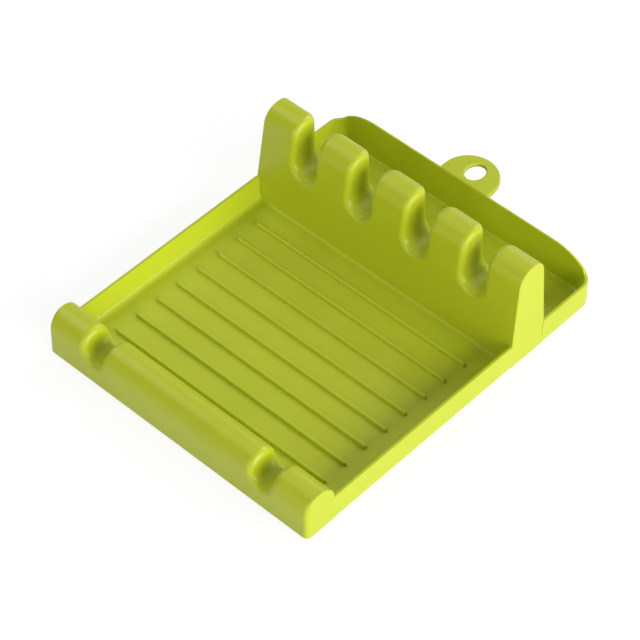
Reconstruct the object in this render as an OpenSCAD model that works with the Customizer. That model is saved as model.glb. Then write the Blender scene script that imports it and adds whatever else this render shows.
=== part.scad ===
// Spoon rest: drip tray, notched front lip, comb of fingers, lid channel and hanging tab.
// Millimetres, +Z up, front lip towards -Y, origin at the bottom centre of the bounding box.

/* [Tray] */
// Width over the side walls at the foot
body_w = 166; // [150:1:190]
// Depth from the front lip to the foot of the backboard
body_d = 200.4; // [185:0.1:230]
// Thickness of the floor and of the hollow shells
wall = 1.8; // [1.4:0.1:2.4]
// Thickness of a side wall or the backboard at its top edge
rim_t = 1.6; // [0.8:0.1:2]
// Height of the side walls
side_h = 14; // [11:0.1:17]
// Lean of the tray's outer faces, degrees from upright
draft = 0.8; // [0.3:0.1:3]
// Lean of the side walls' inner faces, degrees from upright
side_slope = 11; // [6:0.5:16]
// Radius between the floor and the walls
foot_r = 3; // [1.5:0.1:4]
// Plan radius of the outer rear corners
corner_r = 8; // [3:0.5:9]
// Plan radius of the inner rear corners
inner_corner_r = 6; // [2:0.5:7]

/* [Comb] */
// Height of the fingers
comb_h = 56.2; // [50:0.1:70]
// Depth of the comb at its foot
comb_d = 24.9; // [20:0.1:30]
// Lean of the comb's front face, degrees from upright
comb_front_lean = 6.9; // [3:0.1:9]
// Lean of the comb's rear face, degrees from upright
comb_rear_lean = 2; // [1:0.1:4]
// Lean of the comb's ends, degrees from upright
comb_end_lean = 2.2; // [1:0.1:4]
// Radius over the front of the finger tops
comb_front_r = 9; // [6:0.5:10]
// Radius over the rear of the finger tops
comb_rear_r = 7; // [6.5:0.5:8]
// Radius between the floor and the comb's foot
comb_foot_r = 1.5; // [1:0.1:6]
// Distance between notch centres, in the comb and from tray side to tray side
notch_pitch = 35.8; // [32:0.1:40]
// Half width of a comb notch and radius of its floor
notch_r = 6.85; // [5.5:0.05:8.5]
// Height of the lowest point of a comb notch
notch_floor = 29; // [24:0.5:32]
// Radius that rolls a comb notch's front edge over
notch_front_rim = 3; // [1.5:0.1:4]
// Radius that rolls a comb notch's rear edge over
notch_rear_rim = 5.8; // [3:0.1:6.2]

/* [Front lip] */
// Height of the front lip
lip_h = 21.3; // [19:0.1:25]
// Depth of the front lip at its foot
lip_d = 19.7; // [17.5:0.1:22]
// Lean of the lip's front face, degrees from upright
lip_front_lean = 0.8; // [0.3:0.1:4]
// Lean of the lip's rear face, degrees from upright
lip_rear_lean = 5; // [2:0.1:8]
// Radius over the front of the lip
lip_front_r = 6.5; // [5:0.1:8]
// Radius over the rear of the lip
lip_rear_r = 5.5; // [4:0.1:7]
// Half width of a lip notch and radius of its floor
lip_notch_r = 5.8; // [4.8:0.1:6.5]
// Height of the lowest point of a lip notch
lip_notch_floor = 11.7; // [10:0.1:12.5]
// Radius that rolls a lip notch's front edge over
lip_front_rim = 3.2; // [1.5:0.1:3.6]
// Radius that rolls a lip notch's rear edge over
lip_rear_rim = 3; // [1.5:0.1:3.4]
// Radius of the lip's upright front corners
lip_corner_r = 3.6; // [1:0.1:4]

/* [Backboard] */
// Clear depth of the lid channel between the comb and the backboard
channel_w = 35; // [28:0.5:45]
// Height of the backboard
back_h = 23; // [20:0.1:28]
// Lean of the backboard's inner face, degrees from upright
back_slope = 3; // [1:0.5:6]
// Radius of the backboard's shoulders
shoulder_r = 30; // [20:1:40]
// Level stretch at each end before a shoulder starts to rise
shoulder_start = 3.8; // [2.5:0.1:8]

/* [Hanging tab] */
// Width of the tab
tab_w = 30.6; // [24:0.1:40]
// How far the tab reaches behind the foot of the backboard
tab_reach = 18.9; // [16.5:0.1:24]
// Thickness of the tab
tab_t = 2.2; // [1.6:0.1:3]
// Radius of the hanging hole
tab_hole_r = 4.85; // [4:0.05:6]
// Distance from the hole's centre to the tab's far end
tab_hole_in = 10.7; // [9.5:0.1:12]

/* [Drip ribs] */
// Width of a rib at its foot
rib_w = 2.2; // [1.4:0.1:3]
// Height of a rib above the floor
rib_h = 1.7; // [0.8:0.1:2.4]
// Length of a rib from end to end
rib_l = 135.2; // [110:0.1:138]
// Distance from the lip's foot to the first rib
rib_front_gap = 9.3; // [7:0.1:12]
// Distance from the last rib to the comb's foot
rib_rear_gap = 14.1; // [8:0.1:20]
// How much narrower a rib is at its top
rib_taper = 0.8; // [0.2:0.1:1.2]

/* [Fineness] */
// Steps over a rounded top
crown_steps = 9; // [5:1:16]
// Steps round a notch's rolled edge
rim_steps = 5; // [3:1:8]
// Steps round a notch's floor
trough_steps = 16; // [8:1:28]
// Steps round a foot radius or a corner
fillet_steps = 6; // [4:1:12]

/* [Hidden] */
RIBS = 8;
NOTCHES = 4;
FINGERS = NOTCHES + 1;
LIP_NOTCHES = [1, NOTCHES];
CRESTS = len(LIP_NOTCHES) + 1;
plastic = "#b3c235";
overrun = 1;
strip_gap = 1;
total_d = body_d + tab_reach;
comb_y = body_d - wall - channel_w - comb_d;

// A bar is [front foot y, depth, height, front lean, rear lean, front radius, rear radius,
// lean of the ends, front rim of a notch, rear rim of a notch].
comb = [comb_y, comb_d, comb_h, comb_front_lean, comb_rear_lean, comb_front_r, comb_rear_r,
    comb_end_lean, notch_front_rim, notch_rear_rim];
lip = [0, lip_d, lip_h, lip_front_lean, lip_rear_lean, lip_front_r, lip_rear_r,
    draft, lip_front_rim, lip_rear_rim];
comb_notch_z = notch_floor + notch_r;
lip_notch_z = lip_notch_floor + lip_notch_r;
comb_flange = comb_foot_r + strip_gap;
lip_flange = foot_r + strip_gap;

// Side wall section: where the foot radius ends, and how wide a wall is with its strip of floor.
side_foot = side_h * tan(draft) + rim_t + (side_h - wall) * tan(side_slope);
side_strip = side_foot + foot_r + strip_gap;
floor_x = body_w / 2 - side_strip;
back_foot = back_h * tan(draft) + rim_t + (back_h - wall) * tan(back_slope);
back_strip = back_foot + foot_r + inner_corner_r + strip_gap;
back_y = body_d - back_strip;
rib_pitch = (comb_y - rib_rear_gap - lip_d - rib_front_gap) / (RIBS - 1);
shoulder_run = sqrt(pow(shoulder_r, 2) - pow(shoulder_r - back_h + side_h, 2));

// Points of an arc about [u, v] from one angle to another.
function arc(u, v, r, from, to, steps) =
    [for (i = [0:steps])
        let (a = from + (to - from) * i / steps)
        [u + r * cos(a), v + r * sin(a)]];

// Centre of the radius over a bar's edge, measured from the foot of the face it meets.
function crown_u(h, r, lean) = (r + (h - r) * sin(lean)) / cos(lean);

// How far a bar's face stands in from its foot at height z, when the bar is drawn in by inset.
function face_u(z, h, r, lean, inset) =
    z <= h - r + (r - inset) * sin(lean)
        ? z * tan(lean) + inset / cos(lean)
        : crown_u(h, r, lean) - sqrt(max(0, pow(r - inset, 2) - pow(z - h + r, 2)));
function front_y(bar, z, inset) = bar[0] + face_u(z, bar[2], bar[5], bar[3], inset);
function rear_y(bar, z, inset) = bar[0] + bar[1] - face_u(z, bar[2], bar[6], bar[4], inset);
function side_y(bar, z, inset, rear) = rear ? rear_y(bar, z, inset) : front_y(bar, z, inset);

// Rounded top of a bar's section, from the front face over to the rear face. The inset at the
// front holds over the top and eases into the inset at the rear on the way down.
function ease(t) = t * t * (3 - 2 * t);
function crown(bar, front_in, rear_in) = concat(
    arc(bar[0] + crown_u(bar[2], bar[5], bar[3]), bar[2] - bar[5], bar[5] - front_in,
        180 - bar[3], 90, crown_steps),
    [for (i = [0:crown_steps])
        let (
            a = 90 + (bar[4] - 90) * i / crown_steps,
            r = bar[6] - front_in - (rear_in - front_in) * ease(i / crown_steps)
        )
        [bar[0] + bar[1] - crown_u(bar[2], bar[6], bar[4]) + r * cos(a), bar[2] - bar[6] + r * sin(a)]]
);

// Section of a bar without its feet, drawn in by an inset at front and rear, from height z up.
function section(bar, z, front_in, rear_in) = concat(
    [[front_y(bar, z, front_in), z]],
    crown(bar, front_in, rear_in),
    [[rear_y(bar, z, rear_in), z]]
);

// Concave foot of a bar: a radius from the floor up to the face, then none of the face.
function foot_u(r, lean) = ((wall + r) * sin(lean) - r) / cos(lean);
function front_foot(bar, r, flange) = concat(
    [[bar[0] - flange, 0], [bar[0] - flange, wall]],
    arc(bar[0] + foot_u(r, bar[3]), wall + r, r, 270, 360 - bar[3], fillet_steps)
);
function rear_foot(bar, r, flange) = concat(
    arc(bar[0] + bar[1] - foot_u(r, bar[4]), wall + r, r, 180 + bar[4], 270, fillet_steps),
    [[bar[0] + bar[1] + flange, wall], [bar[0] + bar[1] + flange, 0]]
);

// A notch's rolled edge of radius r: distance out from the notch wall at step k, and depth under
// the face at a distance out.
function rim_side(r, k) = r - r * sin(90 * k / rim_steps);
function rim_depth(r, side) = side >= r ? 0 : r - sqrt(pow(r, 2) - pow(r - side, 2));
function notch_x(k) = (k - (NOTCHES + 1) / 2) * notch_pitch;

// Distances out at which a bar's two rims are drawn, widest first.
function rim_sides(bar) = concat(
    [for (k = [0:rim_steps]) if (rim_side(bar[9], k) > bar[8]) rim_side(bar[9], k)],
    [for (k = [0:rim_steps]) rim_side(bar[8], k)]
);

// Stations of a finger along X as [x, distance out]: rolled edges at the notches, square tray ends.
function finger_stations(bar, left, right, left_rim, right_rim) =
    let (
        sides = rim_sides(bar),
        last = len(sides) - 1
    )
    concat(
        left_rim ? [for (i = [last:-1:0]) [left + sides[i], sides[i]]] : [[left, sides[0]]],
        right_rim ? [for (side = sides) [right - side, side]] : [[right, sides[0]]]
    );

// One ring of a notch cutter: a half circle with upright sides, following a leaning bar face.
function trough_ring(bar, x, z, r, inset, rear) = concat(
    [for (i = [0:trough_steps])
        let (a = 180 + 180 * i / trough_steps)
        [x + r * cos(a), side_y(bar, z + r * sin(a), inset, rear), z + r * sin(a)]],
    [[x + r, side_y(bar, z, inset, rear), z + overrun],
     [x - r, side_y(bar, z, inset, rear), z + overrun]]
);

// Inner faces of the tray at height z: distance in from the foot of the outer face.
function inner_u(z, top, slope) =
    let (
        foot = top * tan(draft) + rim_t + (top - wall) * tan(slope),
        reach = foot + foot_r * tan((90 - slope) / 2),
        meet = wall + foot_r - foot_r * sin(slope)
    )
    z >= meet
        ? foot - (z - wall) * tan(slope)
        : reach - sqrt(pow(foot_r, 2) - pow(wall + foot_r - z, 2));
function fillet_z(slope) =
    [for (i = [0:fillet_steps])
        wall + foot_r - foot_r * cos((90 - slope) * i / fillet_steps)];

// Closed skin through rings of points, each ring clockwise seen from the last one's side.
module loft(rings) {
    n = len(rings);
    m = len(rings[0]);
    sides = [for (i = [0:n - 2], j = [0:m - 1])
        [i * m + j, i * m + (j + 1) % m, (i + 1) * m + (j + 1) % m, (i + 1) * m + j]];
    ends = [[for (j = [0:m - 1]) m - 1 - j], [for (j = [0:m - 1]) (n - 1) * m + j]];
    polyhedron(points = [for (ring = rings) each ring], faces = concat(sides, ends));
}

// Outline in Y and Z carried along X from one station to another.
module along_x(from, to) {
    translate([from, 0, 0])
        rotate([90, 0, 90])
            linear_extrude(height = to - from)
                children();
}

// Outline in X and Z carried along Y from one station to another.
module along_y(from, to) {
    translate([0, to, 0])
        rotate([90, 0, 0])
            linear_extrude(height = to - from)
                children();
}

// Puts the tray's own frame, which starts at the front lip, on the bounding box's centre.
module place() {
    translate([0, -total_d / 2, 0])
        color(plastic)
            children();
}

// Everything between a bar's two leaning ends, from one height to another.
module end_block(bar, from, to) {
    low = body_w / 2 - from * tan(bar[7]);
    high = body_w / 2 - to * tan(bar[7]);
    along_y(-strip_gap, body_d)
        polygon([[-low, from], [low, from], [high, to], [-high, to]]);
}

// Full section of the comb or the lip with its feet, over the tray's whole width.
module comb_bar() {
    along_x(-body_w / 2, body_w / 2)
        polygon(concat(
            front_foot(comb, comb_foot_r, comb_flange),
            crown(comb, 0, 0),
            rear_foot(comb, comb_foot_r, comb_flange)
        ));
}
module lip_bar() {
    along_x(-body_w / 2, body_w / 2)
        polygon(concat(
            [[0, 0]],
            crown(lip, 0, 0),
            rear_foot(lip, foot_r, lip_flange)
        ));
}

// Rings of a notch cutter on one face, from outside the bar down to the notch wall.
function trough_rings(bar, x, z, r, rim, rear) =
    let (
        sides = [for (side = rim_sides(bar)) if (side < rim) side],
        gain = (rim - sides[0]) / rim_depth(rim, sides[0])
    )
    concat(
        [trough_ring(bar, x, z, r + rim + gain * overrun, -overrun, rear)],
        [for (side = sides) trough_ring(bar, x, z, r + side, rim_depth(rim, side), rear)]
    );

// Cutter for one notch floor, with both edges rolled over.
module trough(bar, x, z, r) {
    rear = trough_rings(bar, x, z, r, bar[9], true);
    loft(concat(
        trough_rings(bar, x, z, r, bar[8], false),
        [for (i = [len(rear) - 1:-1:0]) rear[i]]
    ));
}

// Upright stretch of a bar between two notches, or between a notch and the tray's side, from
// height z up.
module finger(bar, z, left, right, left_rim, right_rim) {
    loft([for (s = finger_stations(bar, left, right, left_rim, right_rim))
        [for (p = section(bar, z, rim_depth(bar[8], s[1]), rim_depth(bar[9], s[1])))
            [s[0], p[0], p[1]]]]);
}

// Hollow under a bar, one wall inside it, and one wall or more from the notches and their rims.
module hollow(bar, z, r, notches) {
    reach = body_w / 2 - bar[2] * tan(bar[7]) - wall;
    clear = r + wall + rim_depth(max(bar[8], bar[9]), wall);
    difference() {
        along_x(-reach, reach)
            polygon(section(bar, -overrun, wall, wall));
        for (k = notches) {
            translate([notch_x(k), bar[0] - overrun, z])
                rotate([-90, 0, 0])
                    cylinder(r = clear, h = bar[1] + 2 * overrun, $fn = 96);
            translate([notch_x(k) - clear, bar[0] - overrun, z])
                cube([2 * clear, bar[1] + 2 * overrun, bar[2]]);
        }
    }
}

// Cutter for the lip's upright front corner on the right side.
function corner_ring(z) =
    let (
        x = body_w / 2 - z * tan(draft) - lip_corner_r,
        y = z * tan(lip_front_lean) + lip_corner_r
    )
    [for (p = concat(
        [[x + lip_corner_r + overrun, y]],
        [[x + lip_corner_r + overrun, y - lip_corner_r - overrun]],
        [[x, y - lip_corner_r - overrun]],
        arc(x, y, lip_corner_r, 270, 360, fillet_steps)
    )) [p[0], p[1], z]];
module lip_corners() {
    for (side = [0, 1])
        mirror([side, 0, 0])
            loft([corner_ring(-overrun), corner_ring(lip_h + overrun)]);
}

// Side wall section with its foot radius and a strip of floor, on the right side.
module wall_section() {
    edge = body_w / 2;
    polygon(concat(
        [[edge - side_strip, 0], [edge, 0]],
        [[edge - side_h * tan(draft), side_h]],
        [[edge - inner_u(side_h, side_h, side_slope), side_h]],
        [for (z = [for (i = [fillet_steps:-1:0]) fillet_z(side_slope)[i]])
            [edge - inner_u(z, side_h, side_slope), z]],
        [[edge - side_strip, wall]]
    ));
}

// Plan ring of the rear corner zone at height z, set in at the sides and the rear.
function back_ring(z, side_in, rear_in, r, front) = [
    for (p = concat(
        [[-body_w / 2 + side_in, front]],
        arc(-body_w / 2 + side_in + r, body_d - rear_in - r, r, 180, 90, fillet_steps),
        arc(body_w / 2 - side_in - r, body_d - rear_in - r, r, 90, 0, fillet_steps),
        [[body_w / 2 - side_in, front]]
    )) [p[0], p[1], z]
];

module tray_floor() {
    front = lip_d + lip_flange;
    place()
        translate([-floor_x, front, 0])
            cube([2 * floor_x, comb_y - comb_flange - front, wall]);
}

module tray_wall(side) {
    place()
        difference() {
            mirror([side < 0 ? 1 : 0, 0, 0])
                along_y(lip_d / 2, comb_y + comb_d / 2)
                    wall_section();
            lip_bar();
            comb_bar();
        }
}

module front_lip() {
    place()
        difference() {
            intersection() {
                lip_bar();
                end_block(lip, 0, lip_notch_z);
            }
            for (k = LIP_NOTCHES)
                trough(lip, notch_x(k), lip_notch_z, lip_notch_r);
            hollow(lip, lip_notch_z, lip_notch_r, LIP_NOTCHES);
            lip_corners();
        }
}

module lip_crest(i) {
    first = i == 1;
    last = i == CRESTS;
    left = first ? -body_w / 2 : notch_x(LIP_NOTCHES[i - 2]) + lip_notch_r;
    right = last ? body_w / 2 : notch_x(LIP_NOTCHES[i - 1]) - lip_notch_r;
    place()
        difference() {
            intersection() {
                finger(lip, 0, left, right, !first, !last);
                end_block(lip, lip_notch_z, lip_h + overrun);
            }
            hollow(lip, lip_notch_z, lip_notch_r, LIP_NOTCHES);
            lip_corners();
        }
}

module comb_base() {
    place()
        difference() {
            intersection() {
                comb_bar();
                end_block(comb, 0, comb_notch_z);
            }
            for (k = [1:NOTCHES])
                trough(comb, notch_x(k), comb_notch_z, notch_r);
            hollow(comb, comb_notch_z, notch_r, [1:NOTCHES]);
        }
}

module comb_finger(i) {
    first = i == 1;
    last = i == FINGERS;
    left = first ? -body_w / 2 : notch_x(i - 1) + notch_r;
    right = last ? body_w / 2 : notch_x(i) - notch_r;
    place()
        difference() {
            intersection() {
                finger(comb, comb_notch_z, left, right, !first, !last);
                end_block(comb, comb_notch_z - overrun, comb_h + overrun);
            }
            hollow(comb, comb_notch_z, notch_r, [1:NOTCHES]);
        }
}

module lid_channel_floor() {
    front = comb_y + comb_d + comb_flange;
    place()
        translate([-floor_x, front, 0])
            cube([2 * floor_x, back_y - front, wall]);
}

module channel_wall(side) {
    place()
        difference() {
            mirror([side < 0 ? 1 : 0, 0, 0])
                along_y(comb_y + comb_d / 2, back_y)
                    wall_section();
            comb_bar();
        }
}

// Backboard outline seen from the front, with a rising shoulder at each end.
module back_outline() {
    edge = body_w / 2;
    top_x = edge - shoulder_start - shoulder_run;
    rise = acos(shoulder_run / shoulder_r);
    polygon(concat(
        [[-edge, 0], [-edge, side_h]],
        arc(-top_x, back_h - shoulder_r, shoulder_r, 180 - rise, 90, crown_steps),
        arc(top_x, back_h - shoulder_r, shoulder_r, 90, rise, crown_steps),
        [[edge, side_h], [edge, 0]]
    ));
}

module backboard() {
    top = back_h + overrun;
    levels = concat(fillet_z(back_slope), [back_h + overrun]);
    place()
        difference() {
            intersection() {
                loft([
                    back_ring(0, 0, 0, corner_r, back_y),
                    back_ring(top, top * tan(draft), top * tan(draft), corner_r - top * tan(draft), back_y)
                ]);
                along_y(back_y, body_d)
                    back_outline();
            }
            loft([for (z = levels)
                back_ring(z, inner_u(z, side_h, side_slope), inner_u(z, back_h, back_slope),
                    inner_corner_r, back_y - overrun)]);
        }
}

module hanging_tab() {
    tip_y = total_d - tab_w / 2;
    place()
        difference() {
            translate([0, 0, back_h - tab_t])
                linear_extrude(height = tab_t)
                    difference() {
                        union() {
                            translate([-tab_w / 2, back_y])
                                square([tab_w, tip_y - back_y]);
                            translate([0, tip_y])
                                circle(r = tab_w / 2, $fn = 96);
                        }
                        translate([0, total_d - tab_hole_in])
                            circle(r = tab_hole_r, $fn = 96);
                    }
            along_x(-tab_w, tab_w)
                polygon([
                    [0, 0],
                    [body_d, 0],
                    [body_d - 2 * back_h * tan(draft), 2 * back_h],
                    [0, 2 * back_h]
                ]);
        }
}

module drip_rib(i) {
    half = (rib_l - rib_w) / 2;
    y = lip_d + rib_front_gap + (i - 1) * rib_pitch;
    place()
        translate([0, y, wall])
            linear_extrude(height = rib_h, scale = [1 - rib_taper / rib_l, 1 - rib_taper / rib_w])
                union() {
                    square([2 * half, rib_w], center = true);
                    translate([-half, 0])
                        circle(d = rib_w, $fn = 24);
                    translate([half, 0])
                        circle(d = rib_w, $fn = 24);
                }
}

tray_floor();
tray_wall(-1);  // left_tray_wall
tray_wall(1);  // right_tray_wall
front_lip();
for (i = [1:CRESTS])
    lip_crest(i);
comb_base();
for (i = [1:FINGERS])
    comb_finger(i);
lid_channel_floor();
channel_wall(-1);  // left_channel_wall
channel_wall(1);  // right_channel_wall
backboard();
hanging_tab();
for (i = [1:RIBS])
    drip_rib(i);
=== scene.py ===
"""Moulded spoon rest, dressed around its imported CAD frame.

A drip tray with a notched front lip, a comb of five fingers, a lid channel, a backboard and a
hanging tab, all one injection moulding in lime-green polypropylene.
"""

from math import atan2, cos, pi, radians, sin, tan
from types import SimpleNamespace

import bmesh
import bpy
import numpy as np
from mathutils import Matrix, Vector


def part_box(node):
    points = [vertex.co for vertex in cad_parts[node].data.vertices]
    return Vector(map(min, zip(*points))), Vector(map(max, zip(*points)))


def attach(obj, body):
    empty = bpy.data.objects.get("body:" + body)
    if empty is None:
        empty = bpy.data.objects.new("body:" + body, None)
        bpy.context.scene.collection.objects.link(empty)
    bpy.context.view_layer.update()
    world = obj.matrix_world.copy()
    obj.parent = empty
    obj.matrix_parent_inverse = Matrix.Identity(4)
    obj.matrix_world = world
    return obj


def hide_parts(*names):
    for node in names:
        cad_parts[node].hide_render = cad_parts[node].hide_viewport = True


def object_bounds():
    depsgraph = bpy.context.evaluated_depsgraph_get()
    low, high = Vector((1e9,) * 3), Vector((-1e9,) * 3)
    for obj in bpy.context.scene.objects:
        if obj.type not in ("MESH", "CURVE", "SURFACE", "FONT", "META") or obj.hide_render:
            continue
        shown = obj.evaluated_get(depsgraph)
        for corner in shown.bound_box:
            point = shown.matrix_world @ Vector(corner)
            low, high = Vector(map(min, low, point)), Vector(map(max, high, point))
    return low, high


bl_info = {
    "name": "Spoon Rest",
    "version": (1, 0, 0),
    "blender": (4, 5, 0),
    "location": "View3D > Sidebar > Spoon Rest",
    "description": "Builds a moulded spoon rest around its packed CAD frame",
    "category": "Object",
}

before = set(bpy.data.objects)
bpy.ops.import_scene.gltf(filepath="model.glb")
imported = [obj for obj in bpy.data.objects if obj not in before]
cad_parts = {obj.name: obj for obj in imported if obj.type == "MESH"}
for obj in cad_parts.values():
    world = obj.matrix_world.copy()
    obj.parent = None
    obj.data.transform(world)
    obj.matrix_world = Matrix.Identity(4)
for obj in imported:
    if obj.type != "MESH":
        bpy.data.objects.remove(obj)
CAD_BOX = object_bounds()

MM = 0.001
FRONT_Y = CAD_BOX[0].y

# Pieces of the one moulding lap a hair under each other, so that no seam shows between them
LAP = 0.5 * MM
DIP = 0.03 * MM
SINK = 0.02 * MM
MERGE = 0.002 * MM
LEAST_RIM = 0.4 * MM
SHARP_EDGE = radians(38)

# Shares at which the surfaces are sampled, closer together beside a rounded edge
FACE_RINGS = np.array([1.0, 0.7, 0.45, 0.25, 0.1, 0.03, 0.0])
WALL_RINGS = np.array([0.06, 0.4, 0.7, 1.0])
LINE_ROWS = np.array([0.0, 0.3, 0.6, 0.85, 0.97])
ARC_ROWS = np.linspace(0.0, 1.0, 15)
RIM_TURNS = np.linspace(0.0, pi / 2, 9)[1:]
END_TURNS = np.linspace(0.0, pi / 2, 7)[1:]
CAP_SHARES = np.array([0.0, 0.04, 0.35, 0.65, 0.96, 1.0])
FLAT_ROWS = np.array([0.04, 0.35, 0.65, 0.96, 1.0])
FOOT_LINE = np.array([0.0, 0.4, 0.8, 0.96])
FOOT_TURNS = np.linspace(0.0, 1.0, 9)
UNDER_TURNS = np.linspace(0.0, pi / 2, 6)
FOOT_ROWS = len(FOOT_LINE) + len(FOOT_TURNS) + 5
CELL_SIDE_STEPS = 8
CELL_LOW_STEPS = 16
FOOT_END_SHARE = 0.85
FOOTED_COLUMNS = 3
RIB_COUNT = 8
RIB_END_STEPS = 13

# Lengths over which the plastic's colour, polish and grain vary. The real grain is near 0.1 mm,
# and is drawn at 0.7 mm, the least that shows at this size
FLOW_LENGTH = 40 * MM
POLISH_LENGTH = 12 * MM
GRAIN_LENGTH = 0.7 * MM
POLISH_SPREAD = 0.05

# The sweep's half width, its drop under the object and what rays see of its glow and of its shadow
SWEEP_REACH = 4.0
SWEEP_DROP = 0.3 * MM
GLOW_TO_CAMERA = 0.82
GLOW_IN_REFLECTIONS = 0.62
SHADOW_GREY = 0.25
STUDIO_IN_REFLECTIONS = 0.2

# Name, place and size in metres and power in watts of each softbox
SOFTBOXES = (
    ("right_softbox", (2.26, -0.13, 0.80), (2.4, 1.5), 75.0),
    ("back_softbox", (-0.10, 1.96, 1.38), (1.8, 1.2), 26.0),
    ("front_softbox", (0.0, -2.25, 0.82), (1.6, 1.2), 12.5),
    ("left_softbox", (-1.70, 0.0, 1.70), (1.6, 1.2), 19.0),
)

# The photograph's camera, in metres, degrees and the usual millimetres of a lens
CAMERA_PLACE = (0.61687, -0.67279, 1.00568)
CAMERA_YAW = radians(43.038)
CAMERA_PITCH = radians(47.909)
CAMERA_LENS = 160.25
CAMERA_SENSOR = 36.0


def length(name, description, millimetres):
    """A length property, written in millimetres and kept in metres."""
    return bpy.props.FloatProperty(
        name=name, description=description, default=millimetres * MM, unit="LENGTH", precision=5
    )


def lean(name, description, degrees):
    """An angle property, written in degrees."""
    return bpy.props.FloatProperty(
        name=name, description=description, default=radians(degrees), subtype="ANGLE"
    )


def share(name, description, value):
    """A plain share from nought to one."""
    return bpy.props.FloatProperty(
        name=name, description=description, default=value, min=0.0, max=1.0, subtype="FACTOR"
    )


def hexcode(name, description, value):
    """A colour written as an sRGB hex code."""
    return bpy.props.StringProperty(name=name, description=description, default=value)


class TraySizes(bpy.types.PropertyGroup):
    """Sizes that the whole moulding shares"""

    width: length("Width", "Over the side walls at the foot", 166)
    depth: length("Depth", "Front lip to the foot of the backboard", 200.4)
    floor: length("Floor", "Thickness of the floor and of the hollow shells", 1.8)
    rim: length("Rim", "Thickness of a side wall at its top edge", 1.6)
    back_rim: length("Back rim", "Thickness of the backboard at its top edge", 1.0)
    side_height: length("Side height", "Top of the side walls", 14)
    draft: lean("Draft", "Lean of the outer faces", 0.8)
    side_slope: lean("Side slope", "Lean of the side walls' inner faces", 11)
    back_slope: lean("Back slope", "Lean of the backboard's inner face", 3)
    foot_radius: length("Foot radius", "Between the floor and the side walls", 3)
    back_foot: length("Back foot", "Radius between the floor and the backboard", 1.2)
    corner: length("Corner", "Plan radius of the outer rear corners", 8)
    inner_corner: length("Inner corner", "Plan radius of the inner rear corners", 6)
    edge: length("Edge", "Rounding of the lower outer edges", 0.6)
    rim_edge: length("Rim edge", "Rounding of the two edges of a wall's top", 0.3)
    back_height: length("Back height", "Top of the backboard", 23)
    shoulder: length("Shoulder", "Radius of the backboard's shoulders", 30)
    shoulder_start: length("Shoulder start", "Level stretch before a shoulder rises", 3.8)
    shoulder_blend: length("Shoulder blend", "Softening where a shoulder starts", 1.6)


class CombSizes(bpy.types.PropertyGroup):
    """Sizes of the comb with its five fingers"""

    front: length("Front", "Foot of the front face behind the front lip", 138.7)
    height: length("Height", "Top of the fingers", 56.2)
    depth: length("Depth", "Front foot to rear foot", 24.9)
    front_lean: lean("Front lean", "Lean of the front face", 6.9)
    rear_lean: lean("Rear lean", "Lean of the rear face", 2)
    front_crown: length("Front crown", "Radius over the front of the finger tops", 9)
    rear_crown: length("Rear crown", "Radius over the rear of the finger tops", 7)
    foot_radius: length("Foot radius", "Between the floor and the comb", 1.5)
    pitch: length("Pitch", "Distance between notch centres", 35.8)
    notch: length("Notch", "Half width of a notch and radius of its floor", 6.85)
    notch_floor: length("Notch floor", "Lowest point of a notch", 29)
    front_rim: length("Front rim", "Radius that rolls a notch's front edge over", 3)
    rear_rim: length("Rear rim", "Radius that rolls a notch's rear edge over", 5.8)
    end_front: length("End front", "Rounding of the end faces' front edges", 0.5)
    end_top: length("End top", "Rounding of the end faces' top edges", 0.5)
    end_rear: length("End rear", "Rounding of the end faces' rear edges", 0.5)
    end_draft: lean("End draft", "Lean of the end faces", 2.2)
    low: length("Cell foot", "Height at which the notch cells start", 14)


class LipSizes(bpy.types.PropertyGroup):
    """Sizes of the front lip, whose arch stands over the CAD lip's flat top"""

    front: length("Front", "Foot of the front face", 0)
    height: length("Height", "Top of the lip's arch", 24)
    depth: length("Depth", "Front foot to rear foot", 19.7)
    front_lean: lean("Front lean", "Lean of the front face", 0.8)
    rear_lean: lean("Rear lean", "Lean of the rear face", 5)
    front_crown: length("Front crown", "Radius over the front", 9)
    rear_crown: length("Rear crown", "Radius over the rear", 8.8)
    foot_radius: length("Foot radius", "Between the floor and the lip", 3)
    pitch: length("Pitch", "Distance between the two notch centres", 107.4)
    notch: length("Notch", "Half width of a notch and radius of its floor", 5.8)
    notch_floor: length("Notch floor", "Lowest point of a notch", 11.7)
    front_rim: length("Front rim", "Radius that rolls a notch's front edge over", 3.2)
    rear_rim: length("Rear rim", "Radius that rolls a notch's rear edge over", 3)
    end_front: length("End front", "Rounding of the end faces' front edges", 2.6)
    end_top: length("End top", "Rounding of the end faces' top edges", 0.8)
    end_rear: length("End rear", "Rounding of the end faces' rear edges", 0.3)
    end_draft: lean("End draft", "Lean of the end faces", 0.8)
    low: length("Cell foot", "Height at which the notch cells start", 7)
    half_cell: length("Half cell", "Half the width of the stretch that holds a notch", 14)


class SmallSizes(bpy.types.PropertyGroup):
    """Sizes of the hanging tab and the drip ribs"""

    tab_edge: length("Tab edge", "Rounding of the tab's edges", 0.6)
    tab_hole: length("Tab hole", "Half the width of the oval hanging hole", 4.85)
    tab_hole_long: length("Tab hole long", "Half the length of the oval hanging hole", 6.05)
    tab_hole_in: length("Hole in", "Hole's centre from the tab's far end", 10.7)
    tab_root: length("Tab root", "How far the tab reaches into the backboard", 0.7)
    rib_shoulder: length("Rib shoulder", "Height of a rib's straight sides", 1.0)
    rib_taper: length("Rib taper", "How far each side of a rib leans in", 0.3)


class PlasticLook(bpy.types.PropertyGroup):
    """Colours and finish of the plastic and the stage"""

    lime: hexcode("Lime", "Main colour of the plastic", "#C1CC26")
    lime_deep: hexcode("Deep lime", "Colour where the melt cooled last", "#BAC522")
    roughness: share("Roughness", "Satin of the tool's polished faces", 0.38)
    floor_white: hexcode("Floor", "Colour of the floor under the object", "#F4F4F2")


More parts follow.
